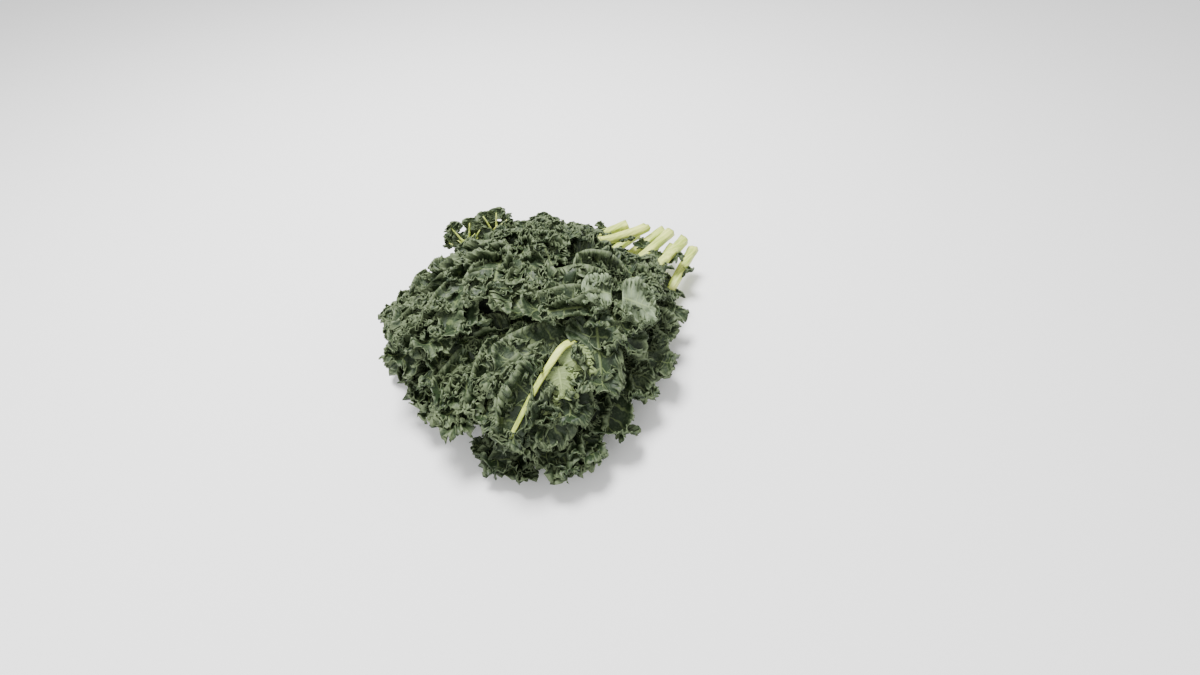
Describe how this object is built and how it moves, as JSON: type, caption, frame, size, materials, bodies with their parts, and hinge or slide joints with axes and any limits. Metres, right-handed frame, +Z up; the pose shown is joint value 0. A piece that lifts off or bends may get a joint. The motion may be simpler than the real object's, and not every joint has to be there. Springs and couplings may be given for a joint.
{
  "type": "kale bunch",
  "caption": "Bunch of curly kale lying on its side: ruffled dark green leaves on pale cut stalks that are gathered at one end.",
  "frame": {"origin": "on the resting surface, under the middle of the bunch", "axes": "+X along the bunch towards the cut ends of the stalks, +Y across it, +Z up from the resting surface"},
  "size_m": [0.4265, 0.3445, 0.1544],
  "materials": {
    "outer_leaf": "matt and waxy, dark grey-green",
    "middle_leaf": "matt and waxy, dark green",
    "inner_leaf": "matt and waxy, mid green",
    "stalk": "smooth satin, pale yellow-green"
  },
  "bodies": {
    "root": {"leaf_01_blade": "outer_leaf", "leaf_02_blade": "outer_leaf", "leaf_03_blade": "middle_leaf", "leaf_04_blade": "middle_leaf", "leaf_05_blade": "inner_leaf", "leaf_06_blade": "inner_leaf", "leaf_07_blade": "outer_leaf", "leaf_08_blade": "outer_leaf", "leaf_01_stalk": "stalk", "leaf_02_stalk": "stalk", "leaf_03_stalk": "stalk", "leaf_04_stalk": "stalk", "leaf_05_stalk": "stalk", "leaf_06_stalk": "stalk", "leaf_07_stalk": "stalk", "leaf_08_stalk": "stalk"}
  },
  "joints": []
}
